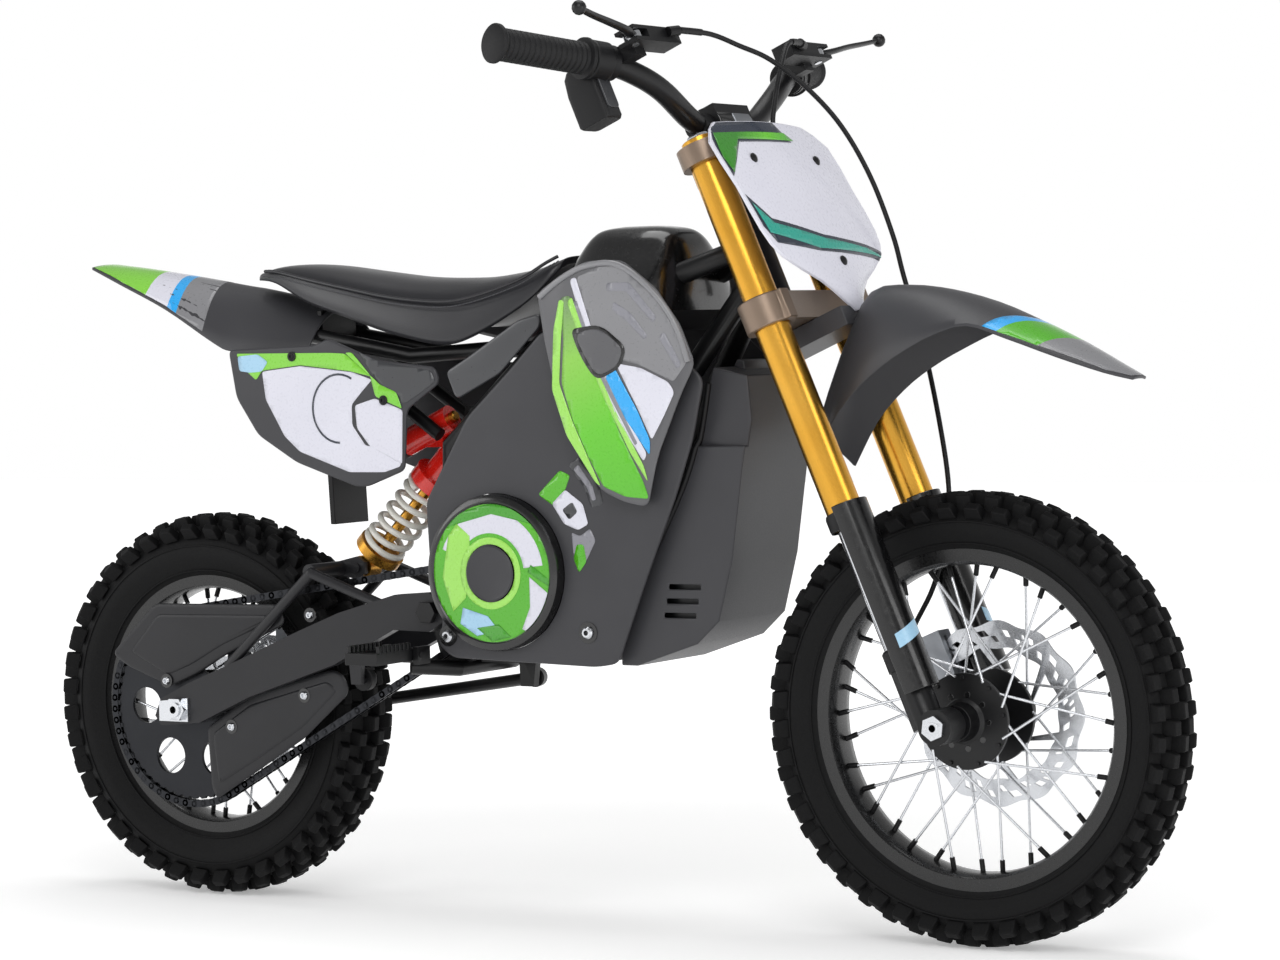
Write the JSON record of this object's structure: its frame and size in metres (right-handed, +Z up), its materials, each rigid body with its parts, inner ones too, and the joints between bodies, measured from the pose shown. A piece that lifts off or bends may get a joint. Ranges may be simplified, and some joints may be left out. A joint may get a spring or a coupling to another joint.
{
  "type": "child's electric dirt bike",
  "caption": "Child's electric dirt bike with spoked wheels, inverted fork, rear shock, chain drive, disc brakes, seat, fenders and folding pegs.",
  "frame": {"origin": "on the ground under the middle of the bike, between the two tyres", "axes": "+X forward, +Y to the rider's left, +Z up"},
  "size_m": [1.3215, 0.617, 0.8959],
  "materials": {
    "frame_paint": "satin",
    "gold": "anodised",
    "clamp": "anodised",
    "bright": "polished",
    "black_metal": "satin",
    "panel": "moulded",
    "shroud": "moulded with graphics",
    "tank": "gloss",
    "box": "moulded",
    "green": "graphics",
    "white": "graphics",
    "fender": "moulded",
    "vinyl": "grained vinyl",
    "rubber": "matt",
    "tyre": "matt",
    "black_plastic": "moulded",
    "red": "gloss",
    "shock_red": "gloss",
    "shock_gold": "anodised",
    "spring": "gloss",
    "swing": "satin",
    "cast": "cast",
    "cell": "shrink wrap",
    "chain_steel": "oiled"
  },
  "bodies": {
    "frame": {"main_frame": "frame_paint", "subframe": "frame_paint", "head_bearings": "bright", "side_panel_right": "panel", "side_panel_left": "panel", "shrouds": "shroud", "tank_cover": "tank", "battery_box": "box", "battery_pack": "cell", "controller": "cast", "motor": "black_metal", "motor_cover": "green", "seat": "vinyl", "rear_fender": "fender", "number_panels": "white", "frame_bolts": "bright"},
    "steering": {"upper_clamp": "clamp", "lower_clamp": "clamp", "fork_tubes": "gold", "handlebar": "black_metal", "bar_clamp": "cast", "number_plate": "white", "front_fender": "fender", "grip_left": "rubber", "throttle_housing": "black_plastic", "bar_controls": "black_plastic", "front_brake_cable": "black_plastic", "rear_brake_cable": "black_plastic"},
    "throttle": {"throttle_grip": "rubber"},
    "front_brake_lever": {"brake_lever_right": "bright"},
    "rear_brake_lever": {"brake_lever_left": "bright"},
    "kill_switch": {"kill_button": "red"},
    "fork_lower": {"fork_sliders": "black_metal", "fork_guards": "black_plastic", "front_axle": "bright", "front_caliper": "cast"},
    "front_caliper_arm": {"front_brake_arm": "cast"},
    "front_wheel": {"front_tyre": "tyre", "front_rim": "black_metal", "front_hub": "black_metal", "front_disc": "bright"},
    "swing": {"swingarm": "swing", "chain_guards": "fender", "rear_axle": "bright", "rear_caliper": "cast", "chain": "chain_steel"},
    "rear_caliper_arm": {"rear_brake_arm": "cast"},
    "rear_wheel": {"rear_tyre": "tyre", "rear_rim": "black_metal", "rear_hub": "black_metal", "rear_sprocket": "chain_steel", "rear_disc": "bright"},
    "motor_shaft": {"motor_sprocket": "chain_steel"},
    "roller": {"chain_roller": "rubber"},
    "shock_upper": {"shock_body": "shock_red", "shock_spring": "spring"},
    "shock_lower": {"shock_shaft": "shock_gold"},
    "right_peg": {"peg_right": "black_metal"},
    "left_peg": {"peg_left": "black_metal"},
    "side_stand": {"kickstand": "black_metal"}
  },
  "joints": [
    {"name": "steering_turn", "type": "hinge", "parent": "frame", "child": "steering", "pos_m": [0.2356, 0, 0.6], "axis": [-0.3907, 0, 0.9205], "range_deg": [-35, 35], "deforming": ["rear_brake_cable"]},
    {"name": "fork_slide", "type": "slide", "parent": "steering", "child": "fork_lower", "axis": [-0.3907, 0, 0.9205], "range_m": [0, 0.06], "stiffness_N_per_m": 5000, "springref_m": -0.05, "deforming": ["front_brake_cable"]},
    {"name": "front_wheel_spin", "type": "hinge", "parent": "fork_lower", "child": "front_wheel", "pos_m": [0.4465, 0, 0.2175], "axis": [0, 1, 0], "continuous": true},
    {"name": "throttle_twist", "type": "hinge", "parent": "steering", "child": "throttle", "pos_m": [0.15951, -0.165, 0.84581], "axis": [-0.33, -0.9378, 0.1079], "range_deg": [0, 70], "stiffness_Nm_per_rad": 0.6, "springref_deg": -14.32},
    {"name": "front_lever_pull", "type": "hinge", "parent": "steering", "child": "front_brake_lever", "pos_m": [0.18782, -0.178, 0.86869], "axis": [0.3907, 0, -0.9205], "range_deg": [0, 20], "stiffness_Nm_per_rad": 2.5, "springref_deg": -11.46},
    {"name": "rear_lever_pull", "type": "hinge", "parent": "steering", "child": "rear_brake_lever", "pos_m": [0.18782, 0.178, 0.86869], "axis": [-0.3907, 0, 0.9205], "range_deg": [0, 20], "stiffness_Nm_per_rad": 2.5, "springref_deg": -11.46},
    {"name": "kill_press", "type": "slide", "parent": "steering", "child": "kill_switch", "axis": [0.324, 0.2199, -0.9202], "range_m": [0, 0.0024], "stiffness_N_per_m": 900, "springref_m": -0.001},
    {"name": "front_arm_pull", "type": "hinge", "parent": "fork_lower", "child": "front_caliper_arm", "pos_m": [0.37267, 0, 0.25406], "axis": [0, 1, 0], "range_deg": [-0.5, 20.5]},
    {"name": "swingarm_pivot", "type": "hinge", "parent": "frame", "child": "swing", "pos_m": [-0.13, 0, 0.313], "axis": [0, 1, 0], "range_deg": [0, 10], "stiffness_Nm_per_rad": 450, "springref_deg": -14.32, "deforming": ["chain"]},
    {"name": "rear_arm_pull", "type": "hinge", "parent": "swing", "child": "rear_caliper_arm", "pos_m": [-0.384, 0, 0.246], "axis": [0, 1, 0], "range_deg": [-0.5, 20.5]},
    {"name": "rear_wheel_spin", "type": "hinge", "parent": "swing", "child": "rear_wheel", "pos_m": [-0.4535, 0, 0.204], "axis": [0, 1, 0], "continuous": true},
    {"name": "motor_spin", "type": "hinge", "parent": "frame", "child": "motor_shaft", "pos_m": [-0.042, 0, 0.345], "axis": [0, 1, 0], "continuous": true},
    {"name": "roller_spin", "type": "hinge", "parent": "swing", "child": "roller", "pos_m": [-0.228, 0, 0.2402], "axis": [0, 1, 0], "continuous": true},
    {"name": "shock_swing", "type": "hinge", "parent": "frame", "child": "shock_upper", "pos_m": [-0.112, 0, 0.505], "axis": [0, 1, 0], "range_deg": [-8, 8]},
    {"name": "shock_stroke", "type": "slide", "parent": "shock_upper", "child": "shock_lower", "axis": [0.7001, 0, 0.7141], "range_m": [-0.001, 0.03], "deforming": ["shock_spring"]},
    {"name": "right_peg_fold", "type": "hinge", "parent": "frame", "child": "right_peg", "pos_m": [-0.152, -0.1, 0.272], "axis": [-1, 0, 0], "range_deg": [0, 65], "stiffness_Nm_per_rad": 1.2, "springref_deg": -22.92},
    {"name": "left_peg_fold", "type": "hinge", "parent": "frame", "child": "left_peg", "pos_m": [-0.152, 0.1, 0.272], "axis": [1, 0, 0], "range_deg": [0, 65], "stiffness_Nm_per_rad": 1.2, "springref_deg": -22.92},
    {"name": "stand_fold", "type": "hinge", "parent": "frame", "child": "side_stand", "pos_m": [-0.09, 0.056, 0.236], "axis": [0.2705, -0.9627, 0], "range_deg": [0, 90], "stiffness_Nm_per_rad": 0.5, "springref_deg": -91.67}
  ],
  "couplings": [
    {"joint": "shock_stroke", "follows": "swingarm_pivot", "m_per_rad": 0.12156},
    {"joint": "shock_swing", "follows": "swingarm_pivot", "ratio": 0.30131},
    {"joint": "motor_spin", "follows": "rear_wheel_spin", "ratio": 4.1539},
    {"joint": "roller_spin", "follows": "rear_wheel_spin", "ratio": 8.5833},
    {"joint": "front_arm_pull", "follows": "front_lever_pull", "ratio": 1},
    {"joint": "rear_arm_pull", "follows": "rear_lever_pull", "ratio": 1}
  ]
}
